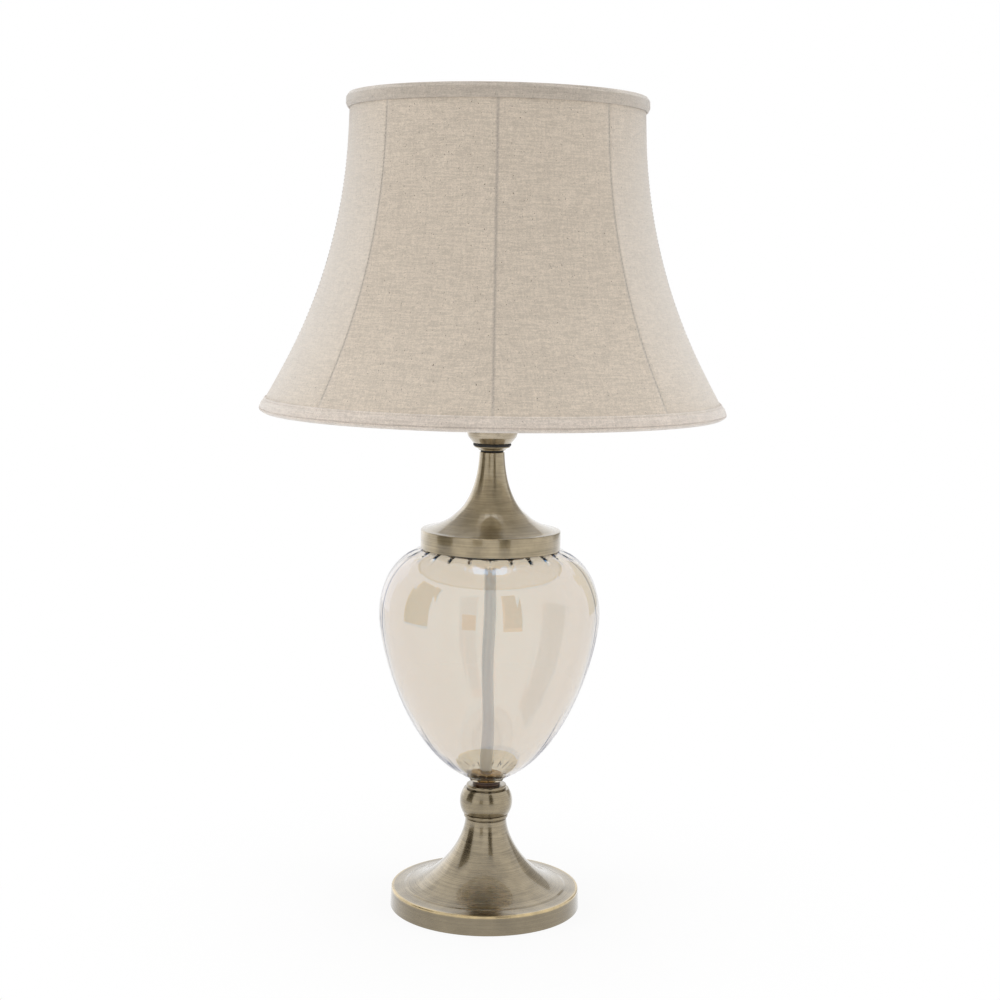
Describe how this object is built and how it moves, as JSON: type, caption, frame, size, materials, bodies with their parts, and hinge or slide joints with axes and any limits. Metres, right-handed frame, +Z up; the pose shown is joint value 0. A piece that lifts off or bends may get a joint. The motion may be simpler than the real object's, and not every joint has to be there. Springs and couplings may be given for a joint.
{
  "type": "candlestick table lamp",
  "caption": "Table lamp: a fluted glass vessel between a spun brass foot and cap on a centre tube, with a lampholder, bulb and panelled bell shade on a wire frame.",
  "frame": {"origin": "on the table, under the middle of the foot", "axes": "+Z up along the centre tube, +Y to the back, where the cord goes in, -Y to the viewer"},
  "size_m": [0.3833, 0.3834, 0.6785],
  "materials": {
    "green_felt": "short felt",
    "grey_iron": "as cast",
    "zinc_steel": "zinc plated",
    "antique_brass": "fine turning marks under clear lacquer",
    "bright_brass": "polished",
    "black_plastic": "moulded",
    "brown_rubber": "moulded",
    "black_gasket": "matt",
    "champagne_glass": "clear, pale champagne tint",
    "black_phenolic": "moulded, half gloss",
    "white_ceramic": "glazed",
    "contact_brass": "stamped",
    "bulb_solder": "soldered",
    "bulb_black_glass": "fused",
    "bulb_shell": "pressed thread",
    "frosted_glass": "frosted",
    "white_wire": "satin coat",
    "oatmeal_linen": "slubby weave",
    "linen_binding": "folded tape",
    "white_lining": "smooth"
  },
  "bodies": {
    "stand": {"base_pad": "green_felt", "base_weight": "grey_iron", "base_washer": "zinc_steel", "base_nut": "zinc_steel", "base_foot": "antique_brass", "cord_bush": "black_plastic", "foot_ring": "antique_brass", "ball_knop": "antique_brass", "knop_collar": "antique_brass", "lower_gasket": "brown_rubber", "glass_body": "champagne_glass", "glass_seat": "bright_brass", "centre_tube": "zinc_steel", "tube_coupling": "zinc_steel", "upper_gasket": "black_gasket", "cap_plate": "zinc_steel", "top_cap": "antique_brass", "neck_washer": "black_gasket", "neck_ring": "antique_brass", "cup_gasket": "black_gasket", "holder_cup": "antique_brass", "holder_dome": "black_phenolic", "tube_locknut": "zinc_steel", "holder_insert": "white_ceramic", "terminal_screws": "contact_brass", "screw_shell": "contact_brass", "centre_contact": "contact_brass", "holder_skirt": "black_phenolic", "shade_seat_ring": "black_phenolic"},
    "retaining_ring": {"shade_retaining_ring": "black_phenolic"},
    "shade": {"shade_fitter": "white_wire", "shade_bottom_ring": "white_wire", "shade_top_ring": "white_wire", "shade_struts": "white_wire", "shade_fabric": "oatmeal_linen", "shade_lining": "white_lining", "shade_bottom_trim": "linen_binding", "shade_top_trim": "linen_binding"},
    "bulb_tip": {"bulb_contact": "bulb_solder"},
    "bulb": {"bulb_insulator": "bulb_black_glass", "bulb_cap": "bulb_shell", "bulb_globe": "frosted_glass"}
  },
  "joints": [
    {"name": "ring_travel", "type": "slide", "parent": "stand", "child": "retaining_ring", "axis": [0, 0, 1], "range_m": [0, 0.005]},
    {"name": "shade_turn", "type": "hinge", "parent": "stand", "child": "shade", "pos_m": [0, 0, 0.4431], "axis": [0, 0, 1], "continuous": true},
    {"name": "bulb_rise", "type": "slide", "parent": "stand", "child": "bulb_tip", "axis": [0, 0, 1], "range_m": [0, 0.022]},
    {"name": "bulb_turn", "type": "hinge", "parent": "bulb_tip", "child": "bulb", "pos_m": [0, 0, 0.45], "axis": [0, 0, 1], "range_deg": [0, 2160]}
  ],
  "couplings": [
    {"joint": "bulb_rise", "follows": "bulb_turn", "m_per_rad": 0.00057757}
  ]
}
